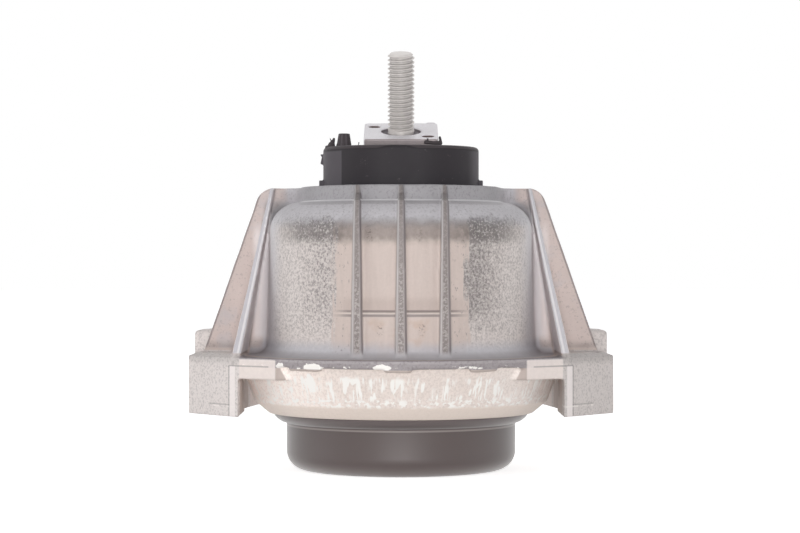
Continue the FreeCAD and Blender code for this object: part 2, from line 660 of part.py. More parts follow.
def make_bellows(ring):
    """Thin cup with a raised middle, hung from its bead; the ring is moulded in from below."""
    bottom = BEAD_TOP + " - dim.bellows_depth"
    crown = bottom + " + dim.bellows_crown"
    wall, outer, roll = "dim.bellows_wall", "dim.bellows_radius", "dim.bellows_roll"
    slope = "dim.bellows_top_radius + dim.bellows_slope"
    cup = turned("bellows_cup", [
        ("0", crown), ("dim.bellows_top_radius", crown), (slope, bottom),
        ("%s - %s" % (outer, roll), bottom), (outer, "%s + %s" % (bottom, roll)), (outer, SPIGOT_TOP),
        (STACK_RADIUS, SPIGOT_TOP), (STACK_RADIUS, BEAD_TOP), ("%s - %s" % (outer, wall), BEAD_TOP),
        ("%s - %s" % (outer, wall), "%s + %s" % (bottom, roll)),
        ("%s - %s" % (outer, roll), "%s + %s" % (bottom, wall)), (slope, "%s + %s" % (bottom, wall)),
        ("dim.bellows_top_radius", "%s + %s" % (crown, wall)), ("0", "%s + %s" % (crown, wall)),
    ], {3: (roll, -1), 9: ("%s - %s" % (roll, wall), 1)})
    return boolean("Cut", "bellows", cup, ring)


def make_cap():
    """Drawn cup with a rounded base, a lip under the collar and a spigot in the bore."""
    wall, base = "dim.cap_wall", "dim.cap_base_round"
    inner = "(dim.cap_radius - dim.cap_wall)"
    spigot = STACK_RADIUS + " - dim.spigot_wall"
    lip_base = "(dim.seat_height - dim.lip_drop)"
    return turned("bottom_cap", [
        ("0", "0"), ("dim.cap_radius - %s" % base, "0"), ("dim.cap_radius", base),
        ("dim.cap_radius", lip_base), ("dim.lip_radius", "dim.seat_height"),
        (STACK_RADIUS, "dim.seat_height"), (STACK_RADIUS, SPIGOT_TOP), (spigot, SPIGOT_TOP),
        (spigot, "dim.seat_height"), (inner, lip_base), (inner, base),
        ("dim.cap_radius - %s" % base, wall), ("0", wall),
    ], {1: (base, -1), 3: ("dim.lip_round", -1), 10: ("%s - %s" % (base, wall), 1)})


def make_parts():
    undrilled_core, core = make_core()
    bellows_ring = make_bellows_ring()
    return [
        make_housing(), core, make_stud(), make_buffer(undrilled_core), make_spring_ring(),
        make_main_spring(), channel_plate("channel_plate_upper", PLATE_JOINT, "dim.upper_plate", False, 1),
        make_lower_plate(), make_membrane(), bellows_ring, make_bellows(bellows_ring), make_cap(),
    ]


def check_document(parts):
    for item in doc.Objects:
        bad = {"Invalid", "Error"} & set(item.State)
        if bad:
            raise RuntimeError("%s is %s" % (item.Label, ", ".join(sorted(bad))))
    for part in parts:
        if part.Shape.isNull() or not part.Shape.isValid():
            raise RuntimeError("%s has no valid shape" % part.Label)
        if len(part.Shape.Solids) != 1:
            raise RuntimeError("%s has %d solids" % (part.Label, len(part.Shape.Solids)))


def main():
    parts = make_parts()
    doc.recompute()
    check_document(parts)
    os.makedirs("parts", exist_ok=True)
    for part in parts:
        part.Shape.exportStep(os.path.join("parts", part.Label + ".step"))
        print(part.Label, round(part.Shape.Volume, 1))


main()
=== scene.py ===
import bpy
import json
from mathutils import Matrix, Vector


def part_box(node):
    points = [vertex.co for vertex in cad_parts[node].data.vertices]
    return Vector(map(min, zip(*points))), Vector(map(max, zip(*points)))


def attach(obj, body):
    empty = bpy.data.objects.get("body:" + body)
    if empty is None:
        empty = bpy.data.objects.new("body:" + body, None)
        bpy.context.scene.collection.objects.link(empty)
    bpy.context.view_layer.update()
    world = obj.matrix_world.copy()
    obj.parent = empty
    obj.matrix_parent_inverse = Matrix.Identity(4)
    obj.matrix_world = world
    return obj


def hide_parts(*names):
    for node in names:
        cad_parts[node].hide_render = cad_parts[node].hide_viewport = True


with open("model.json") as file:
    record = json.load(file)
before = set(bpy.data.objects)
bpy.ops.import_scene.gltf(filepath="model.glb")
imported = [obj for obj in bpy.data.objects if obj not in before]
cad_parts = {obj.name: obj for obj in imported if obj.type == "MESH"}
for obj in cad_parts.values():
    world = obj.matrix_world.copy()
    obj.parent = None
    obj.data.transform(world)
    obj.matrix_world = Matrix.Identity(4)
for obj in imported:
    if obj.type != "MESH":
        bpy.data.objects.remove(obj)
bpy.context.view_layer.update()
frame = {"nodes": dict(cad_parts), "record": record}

import json
import math
from contextlib import contextmanager

import bpy
from bpy.props import FloatProperty, FloatVectorProperty, IntProperty, PointerProperty
from mathutils import Matrix, Vector

bl_info = {
    "name": "Engine mount",
    "version": (1, 0, 0),
    "blender": (4, 5, 0),
    "location": "View3D > Sidebar > Mount",
    "description": "Builds the looks of a hydraulic engine mount around its packed solids",
    "category": "Object",
}

MM = 0.001
ROOT = "root"

# Places on the mount that pieces and finishes share, in millimetres.
FLANGE_TOP, FLANGE_LOW = 42.3, 38.9
RIB_SPACING = 15.4
WING_MIDDLE = 9.25
NECK_RADIUS, COLLAR_RADIUS = 37.3, 56
NUB, NUB_FLUTES = (-20.9, -6.0, 120.1), 9
LOCATOR = (9.9, 8.1)  # from the stud's axis, across and up the head's face
MOUNTS = {mount["name"]: mount for mount in frame["record"]["mounts"]}


def tone(red, green, blue):
    """Linear colour from the 0 to 255 values of a paint chart."""
    parts = [part / 255 for part in (red, green, blue)]
    return tuple(p / 12.92 if p <= 0.04045 else ((p + 0.055) / 1.055) ** 2.4 for p in parts)


# Sizes and colours that a user can change ---------------


def length(name, description, default):
    return FloatProperty(name=name, description=description, default=default * MM, unit="LENGTH")


def share(name, description, default):
    return FloatProperty(name=name, description=description, default=default, min=0, subtype="FACTOR")


def colour(name, description, red, green, blue):
    return FloatVectorProperty(name=name, description=description, subtype="COLOR", size=3,
                               min=0, max=1, default=tone(red, green, blue))


def power(name, description, default):
    return FloatProperty(name=name, description=description, default=default, min=0, unit="POWER")


class MountShape(bpy.types.PropertyGroup):
    """Sizes of the detail that the pieces carry."""
    casting_grid: length("Casting grid", "Size of the grid that the casting is skinned on", 0.5)
    core_grid: length("Core grid", "Size of the grid that the core is skinned on", 0.34)
    rubber_grid: length("Rubber grid", "Size of the grid that the buffer is skinned on", 0.3)
    casting_wave: length("Casting wave", "Depth of the slow unevenness of the cast skin", 0.16)
    rim_wave: length("Rim wave", "Depth of the unevenness of the flange's rim", 0.9)
    thread_pitch: length("Thread pitch", "Rise of the stud's thread in one turn", 1.6)
    thread_depth: length("Thread depth", "Depth of the stud's thread", 0.8)
    neck_blend: length("Neck blend", "Radius of the hollow where the neck runs into a wing", 9.0)
    tip_chamfer: length("Tip chamfer", "Chamfer of the stud's tip", 1.1)
    thread_steps: IntProperty(name="Thread steps", description="Steps in one turn of the thread",
                              default=64, min=16)


class MountColours(bpy.types.PropertyGroup):
    """Colours of the finishes."""
    casting_face: colour("Casting face", "Smooth cast faces", 206, 191, 184)
    casting_panel: colour("Casting panel", "Rough panels of the bell", 214, 206, 203)
    casting_wing: colour("Casting wing", "Flat faces of the wings", 198, 183, 178)
    # Grey-blue that is laid on the shoulder as painted shade and sky reflection.
    casting_shade: colour("Casting shade", "Shoulder, neck and fillets", 193, 190, 194)
    # Also the colour of the painted shadow lines along the ribs, the ledge, the neck's foot and the wings.
    casting_grain_and_shade: colour("Casting grain", "Dark grain and lines of the cast skin", 112, 104, 106)
    collar_skin: colour("Collar skin", "Cone under the flange", 240, 228, 221)
    core_face: colour("Core face", "Head of the core", 231, 228, 232)
    core_grain: colour("Core grain", "Dark grain of the head", 108, 100, 102)
    stud_face: colour("Stud face", "Zinc of the stud", 214, 209, 206)
    buffer_face: colour("Buffer face", "Rubber of the stop buffer", 44, 40, 44)
    cap_face: colour("Cap face", "Coat of the bottom cap", 58, 42, 40)


class MountStage(bpy.types.PropertyGroup):
    """Camera, lamps and surroundings."""
    camera_distance: length("Camera distance", "From the axis of the mount to the camera", 814)
    camera_height: length("Camera height", "Height of the camera over the floor", 74.6)
    camera_side: length("Camera side", "Camera's place to the right of the axis", -0.37)
    focal_length: FloatProperty(name="Focal length", description="Lens of the camera in millimetres",
                                default=99.0)
    sky: share("Sky", "Strength of the white surroundings on the mount", 0.36)
    key: power("Key lamp", "Power of the lamp above", 0.5)
    front: power("Front lamp", "Power of the lamp in front", 6.2)
    left: power("Left lamp", "Power of the lamp at the left", 2.2)
    side: power("Side lamps", "Power of the lamps at the right and behind", 1.1)


# Mesh work ----------------------------------------------


def only(piece):
    """Make one piece the whole selection."""
    bpy.ops.object.select_all(action="DESELECT")
    piece.select_set(True)
    bpy.context.view_layer.objects.active = piece
    return piece


def added(name, data):
    """New object with that data, in the scene."""
    item = bpy.data.objects.new(name, data)
    bpy.context.scene.collection.objects.link(item)
    return item


@contextmanager
def editing():
    """Edit mode on the active piece, with the whole mesh selected."""
    bpy.ops.object.mode_set(mode="EDIT")
    bpy.ops.mesh.select_all(action="SELECT")
    yield
    bpy.ops.object.mode_set(mode="OBJECT")


def face_out():
    """Turn every face of the mesh in edit mode outward."""
    bpy.ops.mesh.select_all(action="SELECT")
    bpy.ops.mesh.normals_make_consistent(inside=False)


def applied(piece, kind, **settings):
    """Add one modifier to a piece and apply it."""
    only(piece)
    modifier = piece.modifiers.new(kind.title(), kind)
    for name, value in settings.items():
        setattr(modifier, name, value)
    bpy.ops.object.modifier_apply(modifier=modifier.name)


def merged_copy(node, name):
    """New piece with a CAD node's shape, its loose triangles merged into one closed skin."""
    mesh = frame["nodes"][node].data.copy()
    mesh.name = name
    mesh.materials.clear()
    piece = only(added(name, mesh))
    bpy.ops.mesh.customdata_custom_splitnormals_clear()
    with editing():
        bpy.ops.mesh.remove_doubles(threshold=0.002 * MM)
    return piece


def named(name):
    """Name the primitive that was just added, with its place put into its mesh."""
    piece = bpy.context.object
    piece.name = piece.data.name = name
    bpy.ops.object.transform_apply(location=True, rotation=True, scale=True)
    return piece


def block(name, centre, size, turn=(0, 0, 0), bevel=0.3):
    """Block with softened edges; centre, size and bevel in millimetres, turn in degrees."""
    bpy.ops.mesh.primitive_cube_add(size=1, location=Vector(centre) * MM, scale=Vector(size) * MM,
                                    rotation=[math.radians(angle) for angle in turn])
    piece = named(name)
    applied(piece, "BEVEL", width=bevel * MM, segments=2)
    return piece


def spike(name, centre, base, tip, height, turn=(0, 0, 0), sides=7):
    """Cone or stub; sizes in millimetres, turn in degrees."""
    bpy.ops.mesh.primitive_cone_add(vertices=sides, radius1=base * MM, radius2=tip * MM, depth=height * MM,
                                    location=Vector(centre) * MM,
                                    rotation=[math.radians(angle) for angle in turn])
    return named(name)


def fluted(piece, centre, flutes, depth):
    """Draw every second pair of an upright stub's corners in towards its axis."""
    only(piece)
    for vertex in piece.data.vertices:
        turn = math.atan2(vertex.co.y - centre[1] * MM, vertex.co.x - centre[0] * MM) / math.tau
        vertex.select = (turn * flutes) % 1 < 0.5
    bpy.ops.object.mode_set(mode="EDIT")
    bpy.ops.transform.resize(value=(1 - depth, 1 - depth, 1), center_override=Vector(centre) * MM)
    bpy.ops.object.mode_set(mode="OBJECT")
    return piece


def drawn(name, points, edges=(), faces=()):
    """New piece from points in metres."""
    mesh = bpy.data.meshes.new(name)
    mesh.from_pydata(points, edges, faces)
    return only(added(name, mesh))


def prism(name, plan, low, high):
    """Upright solid from a plan outline and two heights, in millimetres."""
    piece = drawn(name, [(x * MM, y * MM, low * MM) for x, y in plan], faces=[range(len(plan))])
    with editing():
        bpy.ops.mesh.extrude_region_move(TRANSFORM_OT_translate={"value": (0, 0, (high - low) * MM)})
        face_out()
    return piece


def turned_solid(name, outline, steps=96):
    """Solid turned about Z from a half outline that starts and ends on the axis, in metres."""
    piece = drawn(name, [(r, 0, z) for r, z in outline], [(n, n + 1) for n in range(len(outline) - 1)])
    with editing():
        bpy.ops.mesh.spin(steps=steps, angle=math.radians(360), center=(0, 0, 0), axis=(0, 0, 1))
        bpy.ops.mesh.select_all(action="SELECT")
        bpy.ops.mesh.remove_doubles(threshold=0.001 * MM)
        face_out()
    return piece


def joined(piece, others):
    """Join other pieces into a piece."""
    only(piece)
    for other in others:
        other.select_set(True)
    bpy.ops.object.join()
    return piece


def skinned(piece, grid, passes, most):
    """Closed even skin with softened edges and at most so many triangles."""
    size = grid * 1
    applied(piece, "REMESH", mode="VOXEL", voxel_size=size, adaptivity=0)
    applied(piece, "SMOOTH", factor=0.5, iterations=passes)
    triangles = 2 * len(piece.data.polygons)
    if triangles > most:
        applied(piece, "DECIMATE", ratio=most / triangles, use_collapse_triangulate=True)
    smooth(piece)


def smooth(piece, angle=None):
    only(piece)
    if angle is None:
        bpy.ops.object.shade_smooth()
    else:
        bpy.ops.object.shade_smooth_by_angle(angle=math.radians(angle))


def weighted(piece, name, weight_at):
    """Vertex group whose weights come from a function of the place in millimetres."""
    group = piece.vertex_groups.new(name=name)
    for vertex in piece.data.vertices:
        weight = weight_at(*(vertex.co / MM))
        if weight > 0:
            group.add([vertex.index], min(weight, 1), "REPLACE")
    return group.name


def uneven(piece, depth, scale, group, direction="NORMAL"):
    """Push a skin in and out by a slow random pattern; scale in millimetres."""
    pattern = bpy.data.textures.new("unevenness", "CLOUDS")
    pattern.noise_scale = scale * MM
    applied(piece, "DISPLACE", texture=pattern, texture_coords="GLOBAL", strength=2 * depth,
            direction=direction, vertex_group=group)
    bpy.data.textures.remove(pattern)


def finished(piece, material, slot, *nodes):
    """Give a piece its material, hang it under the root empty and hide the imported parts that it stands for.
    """
    piece.data.materials.clear()
    piece.data.materials.append(material)
    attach(piece, ROOT)
    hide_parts(*nodes)
    return piece


# Shader work --------------------------------------------


class Level:
    """A number that varies over a surface; arithmetic on it adds the nodes."""

    def __init__(self, finish, socket):
        self.finish, self.socket = finish, socket

    def __add__(self, other):
        return self.finish.math("ADD", self, other)

    def __sub__(self, other):
        return self.finish.math("SUBTRACT", self, other)

    def __rsub__(self, other):
        return self.finish.math("SUBTRACT", other, self)

    def __mul__(self, other):
        return self.finish.math("MULTIPLY", self, other)

    def __truediv__(self, other):
        return self.finish.math("DIVIDE", self, other)

    def __abs__(self):
        return self.finish.math("ABSOLUTE", self)

    __radd__, __rmul__ = __add__, __mul__

    def over(self, low, high):
        """0 below low, 1 above high, smooth between."""
        return self.finish.node("ShaderNodeMapRange", {"interpolation_type": "SMOOTHSTEP"},
                                {"Value": self, "From Min": low, "From Max": high})

    def under(self, low, high):
        """1 below low, 0 above high, smooth between."""
        return 1 - self.over(low, high)

    def near(self, middle, half, soft):
        """1 within half of middle, fading over soft."""
        return abs(self - middle).under(half, half + soft)

    def most(self, other):
        return self.finish.math("MAXIMUM", self, other)


class Finish:
    """One material, written as expressions. Lengths are in millimetres of the mount."""

    def __init__(self, name):
        self.material = bpy.data.materials.new(name)
        self.material.use_nodes = True
        self.tree = self.material.node_tree
        self.surface = self.tree.nodes["Principled BSDF"]
        metres = self.node("ShaderNodeTexCoord", output="Object")
        self.place = self.node("ShaderNodeVectorMath", {"operation": "SCALE"},
                               {"Vector": metres, "Scale": 1 / MM}, "Vector")
        self.x, self.y, self.z = (
            self.node("ShaderNodeSeparateXYZ", inputs={"Vector": self.place}, output=axis) for axis in "XYZ")

    def node(self, kind, settings=None, inputs=None, output=0):
        """Add a node: its settings first, then the values or links of its inputs."""
        node = self.tree.nodes.new(kind)
        for name, value in (settings or {}).items():
            setattr(node, name, value)
        for name, value in (inputs or {}).items():
            self.feed(node.inputs[name], value)
        return Level(self, node.outputs[output])

    def feed(self, socket, value):
        if isinstance(value, Level):
            self.tree.links.new(value.socket, socket)
        else:
            socket.default_value = value

    def math(self, operation, *values):
        return self.node("ShaderNodeMath", {"operation": operation}, dict(enumerate(values)))

    def vector(self, x, y, z):
        return self.node("ShaderNodeCombineXYZ", inputs={"X": x, "Y": y, "Z": z})

    def noise(self, size, detail=2.0, rough=0.5, place=None):
        """Random level from 0 to 1 with features of about that size."""
        inputs = {"Vector": place or self.place, "Scale": 1 / size, "Detail": detail, "Roughness": rough}
        return self.node("ShaderNodeTexNoise", inputs=inputs)

    def cells(self, size):
        """Distance to the nearest of scattered points, in cells of that size."""
        return self.node("ShaderNodeTexVoronoi", inputs={"Vector": self.place, "Scale": 1 / size})

    def blend(self, share_of_second, first, second, kind="MIX"):
        """Mix two colours; each is a colour of three numbers or a node's output."""
        settings = {"data_type": "RGBA", "blend_type": kind}
        pair = [value if isinstance(value, Level) else (*value, 1) for value in (first, second)]
        return self.node("ShaderNodeMix", settings, {0: share_of_second, 6: pair[0], 7: pair[1]}, 2)

    def shaded(self, base, level):
        """A colour times a level."""
        grey = self.vector(level, level, level)
        return self.blend(1.0, base, grey, "MULTIPLY")

    def lay(self, amount, over):
        """Lay a colour over the base by an amount from 0 to 1."""
        self.base = self.blend(amount, self.base, over)

    def shade(self, level):
        """Multiply the base by a level."""
        self.base = self.shaded(self.base, level)

    def finish(self, roughness, height, bump, depth, **constants):
        """Wire up the surface with its base; height times depth is in millimetres."""
        relief = {"Height": height, "Strength": bump, "Distance": depth * MM}
        self.feed(self.surface.inputs["Base Color"], self.base)
        self.feed(self.surface.inputs["Roughness"], roughness)
        self.feed(self.surface.inputs["Normal"], self.node("ShaderNodeBump", inputs=relief))
        for name, value in constants.items():
            self.feed(self.surface.inputs[name.replace("_", " ").title().replace("Ior", "IOR")], value)
        return self.material


class Casting(Finish):
    """Cast skin of the housing: its patterns, its zones and a method for the look of each zone."""

    def __init__(self, colours):
        super().__init__("cast_aluminium")
        # dark is the grain's colour and also the colour of painted shadow lines.
        self.colours, self.dark = colours, colours.casting_grain_and_shade
        self.across, self.up = abs(self.x), self.z
        self.rise = self.up - FLANGE_TOP
        self.radius = self.math("SQRT", self.x * self.x + self.y * self.y)
        self.round = self.math("ARCTAN2", self.y, self.x) * COLLAR_RADIUS
        self.slow, self.patch, self.cloud = self.noise(14, 3), self.noise(3.4, 3), self.noise(1.7, 3, 0.6)
        self.grit, self.fleck = self.noise(0.62, 2, 0.7), self.noise(0.9, 2.5, 0.7)
        self.drawn_down = self.noise(1.3, 2, 0.6, self.vector(self.x, self.y, self.up * 0.1))
        self.jitter = (self.patch - 0.5) * 7
        self.zones()

    def zones(self):
        """Masks that are 1 on a zone and 0 off it."""
        x, y, across, up, radius = self.x, self.y, self.across, self.up, self.radius
        self.on_bell = radius.under(51.0, 52.4) * up.over(43, 45)
        edge = across + self.jitter * 0.25 + (self.drawn_down - 0.5) * 9
        self.field = edge.over(22.4, 24.4) * self.on_bell
        self.beside = x - self.math("ROUND", x / RIB_SPACING) * RIB_SPACING
        self.flank = 2.05 - self.rise * 0.0147
        self.ribbed = across.under(18.5, 19) * radius.over(37.8, 38.4) * up.over(43.6, 45.5)
        on_wing = (y - WING_MIDDLE).near(0, 3.0, 1.6)
        self.wing = (radius.over(50.0, 53) * on_wing * up.over(43.5, 45)).most(
            across.over(36, 42) * on_wing * up.over(90, 97))
        self.fin_middle, self.fin_half = 59 - self.rise * 0.1824, 1.65 - self.rise * 0.0155
        off_wing = y.under(4.2, 5.2).most(y.over(13.3, 14.3))
        fin = (abs(across - self.fin_middle) - self.fin_half).under(0.15, 0.5)
        self.fin = fin * off_wing * up.over(43.2, 44.2)
        self.rim = up.over(38.8, 39.2) * up.under(42.6, 42.9) * radius.over(58.6, 59.4)
        self.lug = across.over(61, 61.6) * y.over(13.2, 14.2) * up.under(51, 52)
        foot = across.over(57.2, 57.8) * up.under(43.2, 43.8)
        self.ear = (foot * radius.over(61.7, 62.2).most(across.over(60, 60.5))).most(self.lug)
        self.off_cone = radius - (54.2 + (up - 25.4) * 0.371)
        self.collar = up.under(39.0, 39.4) * self.off_cone.under(1.0, 1.5)

    def tinted(self, paint, low, cloud, slow=0.0):
        """A colour whose level is low plus shares of the small and the large clouds."""
        level = low + self.cloud * cloud
        return self.shaded(paint, level + self.slow * slow if slow else level)

    def bell(self):
        """Smooth strips, paler panels, a grey shoulder and foot as painted shade and sky reflection, sides
        made paler as painted reflection, and a dark band at the shoulder as painted shade.
        """
        across, up, jitter, on_bell = self.across, self.up, self.jitter, self.on_bell
        self.base = self.shaded(self.colours.casting_face, 0.93 + 0.14 * self.drawn_down)
        warm = self.noise(6, 2).over(0.52, 0.68) * up.under(54, 58) * across.under(15, 18)
        self.lay(warm * 0.4, tone(196, 166, 146))
        self.lay(self.field * 0.85, self.tinted(self.colours.casting_panel, 0.86, 0.28))
        # Painted shade and sky reflection: the shoulder, which turns upward, is laid grey-blue.
        shoulder = (up + jitter * 0.3).over(87, 92)
        self.lay(shoulder, self.tinted(self.colours.casting_shade, 0.92, 0.16))
        self.lay(self.fleck.under(0.38, 0.46) * 0.22 * shoulder, self.dark)
        # Painted reflection: the bell is made paler toward its sides and along its outer edge.
        side = (across + jitter).over(31, 42) * on_bell * up.under(82, 88)
        self.lay(side * 0.3, tone(232, 226, 223))
        self.lay((across + jitter * 0.3).over(42, 47.5) * on_bell * 0.75, tone(216, 214, 218))
        # Painted shade and sky reflection: the bell's foot is laid blue-grey and darkened where it meets the
        # flange.
        foot = (up + jitter * 0.25).under(45.0, 49.5) * self.radius.under(56, 57)
        self.lay(foot * 0.75, self.tinted(tone(183, 183, 190), 0.9, 0.2))
        self.shade(1 - 0.25 * up.under(43.4, 45.2) * (0.4 + 0.6 * self.patch))
        # Painted shade: a dark band where the bell turns into the shoulder.
        brow = (up + jitter * 0.5).near(87.2, 1.6, 4.2) * on_bell * (across + jitter * 0.5).under(36, 46)
        beside_ribs = across.near(28, 6, 5) * self.patch.over(0.3, 0.6)
        self.shade(1 - brow * (0.34 + 0.24 * self.cloud + 0.14 * beside_ribs))
        self.shade(0.94 + 0.12 * self.fleck)

    def rough_panels(self):
        """Dark and light grain on the side panels, heaviest near the ribs, and painted shade that makes the
        right panel darker.
        """
        across, up, jitter, fleck = self.across, self.up, self.jitter, self.fleck
        height = (up + jitter).over(44, 52) * (up + jitter).under(89, 94)
        self.rough = self.field * height * (across + jitter).under(42, 49)
        heavy = self.rough * (across + jitter).under(24, 40) * (up + jitter * 2).over(50, 62)
        # The heavy grain zone is darkened, and on the right a quarter more as painted shade.
        self.shade(1 - 0.15 * heavy - 0.25 * heavy * self.x.over(0, 6))
        self.lay(fleck.under(0.40, 0.50) * (0.34 * self.rough + 0.30 * heavy), self.dark)
        self.lay(self.grit.under(0.38, 0.48) * (0.22 * self.rough + 0.22 * heavy), self.dark)
        self.lay(fleck.over(0.54, 0.64) * self.rough * 0.42, tone(232, 226, 222))
        strays = self.noise(1.0, 3, 0.7, self.vector(self.x, self.y, up * 0.5)).under(0.33, 0.39)
        strays = strays * (1 - self.field) * self.on_bell
        self.lay(strays * 0.5 * across.over(14, 20), self.dark)

    def ribs(self):
        """Grey flanks, a mottled crest, a painted highlight line on one side and a painted shadow line on the
        other.
        """
        beside, flank, ribbed = self.beside, self.flank, self.ribbed
        flanks = abs(beside).under(flank * 0.95, flank * 1.3) * ribbed
        self.lay(flanks * 0.75, tone(158, 152, 152))
        mottle = self.fleck.over(0.46, 0.60) * (0.25 + 0.5 * self.up.under(62, 84))
        crest = abs(beside).under(flank * 0.3, flank * 0.65) * ribbed
        self.lay(crest * 0.85, self.blend(mottle, tone(136, 127, 125), tone(196, 188, 185)))
        # Painted highlight along one side of each rib and painted shadow along the other.
        self.lay((beside + flank * 0.8).near(0, 0.14, 0.22) * ribbed * 0.55, tone(214, 210, 210))
        self.lay((beside - flank * 0.85).near(0, 0.2, 0.3) * ribbed * 0.6, self.dark)

    def ledge_and_neck(self):
        """Painted shadow and highlight lines of the ledge between the ribs, the neck's painted shade, and the
        painted highlight and shadow lines at its foot.
        """
        across, up, flank = self.across, self.up, self.flank
        between = across.under(17, 25) * self.on_bell * (
            1 - abs(self.beside).under(flank, flank * 1.2) * self.ribbed)
        # Painted shadow lines and a painted highlight line along the ledge's step, and a darker brownish band
        # above it.
        for height, half, soft, strength, paint in (
            (59.0, 0.26, 0.3, 0.65, self.dark), (57.5, 0.26, 0.4, 0.65, self.dark),
            (61.0, 0.8, 3.2, 0.22, tone(150, 130, 122)), (58.25, 0.16, 0.2, 0.5, tone(224, 214, 208)),
        ):
            self.lay(up.near(height, half, soft) * between * strength, paint)
        plain = across.under(35, 38) * (1 - abs(self.beside).under(flank * 0.8, flank) * self.ribbed)
        # Painted shadow line under the ridge at the neck's foot.
        self.lay(up.near(97.2, 0.35, 0.5) * plain * 0.3, self.dark)
        # Painted shade: the neck is darkened.
        neck = up.over(97.6, 98.2) * self.radius.over(30, 34) * across.under(33, 40)
        self.shade(1 - neck * (0.29 + 0.1 * self.cloud))
        # Painted highlight along the ridge at the neck's foot.
        self.lay(up.near(98.15, 0.22, 0.2) * plain * 0.8, tone(230, 228, 230))

    def pits(self):
        """Small pits below the shoulder and above the foot of the bell."""
        pitted = (self.x.near(-11.2, 0.7, 1.0) * self.up.near(86.2, 1.8, 1.6)
                  + self.x.near(6.4, 0.6, 0.9) * self.up.near(85.5, 2.0, 1.5) * 0.5
                  + self.across.near(7.3, 0.5, 1.0) * self.up.near(52.5, 1.2, 1.4) * 0.9)
        self.pit = self.grit.over(0.53, 0.60) * pitted
        self.lay(self.pit * 0.6 * self.on_bell, tone(100, 86, 84))

    def wings(self):
        """Warm faces with a thin dark outline of painted shade, painted shade in the corners, the crease and
        the foot, and painted light in the pocket inside the fins and the hollows beside the bell.
        """
        y, up, across, wing, cloud = self.y, self.up, self.across, self.wing, self.cloud
        face = self.tinted(self.colours.casting_wing, 0.88, 0.12, 0.12)
        face = self.blend(self.fleck.under(0.36, 0.42) * 0.3, face, self.dark)
        face = self.blend(self.noise(9, 3).over(0.5, 0.66) * 0.4, face, tone(176, 175, 181))
        self.lay(wing, face)
        # Painted shade: a thin dark line along the wing's outline.
        outline = (across + self.rise * 0.35 - 73.7).over(-1.0, -0.6) * y.near(6.0, 0.9, 0.5)
        self.lay(outline * up.over(44, 46) * 0.6, self.dark)
        inside = self.fin_middle - across
        # Painted light: the pocket of the wing inside the fin is laid paler.
        inner = wing * inside.over(0, 1) * up.over(46, 50) * up.under(90, 98)
        self.lay(inner * 0.7, self.tinted(tone(236, 220, 214), 0.9, 0.2))
        # Painted shade in the corner between fin and wing.
        corner = inside.near(self.fin_half + 0.3, 0.2, 0.25) * y.near(5.4, 0.6, 0.5) * up.over(44, 45)
        self.lay(corner * 0.3, self.dark)
        # Painted shade along the crease at the shoulder.
        crease = y.near(4.0, 2.2, 2.2) * up.near(92.5, 3.5, 4.5) * self.radius.near(46.5, 3.0, 3.0)
        self.shade(1 - crease * (0.22 + 0.3 * cloud))
        # Painted light: the hollows beside the bell are laid pale.
        hollow = y.over(-14, -4) * y.under(5.6, 6.4) * self.radius.near(50.5, 3.4, 2.5)
        self.lay(hollow * up.over(46, 50) * up.under(86, 93) * 0.85, tone(243, 239, 240))
        # Painted shade along the wing's foot, near the flange.
        base_shade = wing * up.under(44.5, 48) * (1 - self.fin)
        self.shade(1 - base_shade * (0.15 + 0.35 * self.patch))

    def fins(self):
        """Sides made bright as painted light, and a greyer crest with a painted highlight line along it."""
        y, across, rise = self.y, self.across, self.rise
        # Painted light: the fin's sides are laid bright.
        self.lay(self.fin, self.tinted(tone(238, 230, 230), 0.92, 0.16))
        edge = self.math("MINIMUM", abs(y + 31 - rise * 0.5375), abs(y - 38.5 + rise * 0.358))
        crest = edge.under(0.5, 1.0) * self.fin
        self.lay(crest, self.tinted(tone(205, 202, 207), 0.92, 0.16))
        # Painted highlight line along the crest.
        self.lay(crest * (across - self.fin_middle).near(-0.55, 0.25, 0.3) * 0.7, tone(246, 243, 244))

    def flange_rim(self):
        """Rim with a dark line along its top, a darker lower part and bright chips."""
        up, rim, patch, cloud = self.up, self.rim, self.patch, self.cloud
        self.lay(rim, self.shaded(tone(172, 165, 167), 0.72 + 0.30 * cloud + 0.28 * patch))
        self.lay(rim * self.fleck.under(0.40, 0.48) * 0.35, self.dark)
        self.lay(rim * up.under(40.4 + patch * 1.2, 40.7 + patch * 1.2) * 0.3, self.dark)
        top_line = up.near(42.45, 0.2, 0.3) * self.radius.over(59.5, 60.5) * self.across.under(56, 58)
        self.lay(top_line * 0.65, self.dark)
        chip = self.noise(3.2, 3, 0.6, self.vector(self.round, up * 1.4, 0.0)).over(0.60, 0.62)
        chip = chip * up.under(40.0, 40.4) * rim
        for place, reach in ((-116.9, 3.4), (-94.0, 2.6), (-130.5, 1.8)):
            away, height = (self.round - place) * (1.3 / reach), up - 39.6
            worn = self.math("SQRT", away * away + height * height) + (cloud - 0.5) * 1.8
            chip = chip.most(worn.under(1.25, 1.45) * rim)
        self.lay(chip, tone(250, 246, 242))

    def feet(self):
        """Fine even grain, parting lines, a light strip on the inner edge, the pale webs, and painted shade
        on the rounded tops and the right feet.
        """
        up, across, fleck, ear = self.up, self.across, self.fleck, self.ear
        foot = self.tinted(tone(225, 217, 214), 0.88, 0.14, 0.10)
        foot = self.blend(fleck.under(0.40, 0.50) * 0.28, foot, self.dark)
        foot = self.blend(self.grit.over(0.56, 0.64) * 0.3, foot, tone(240, 236, 232))
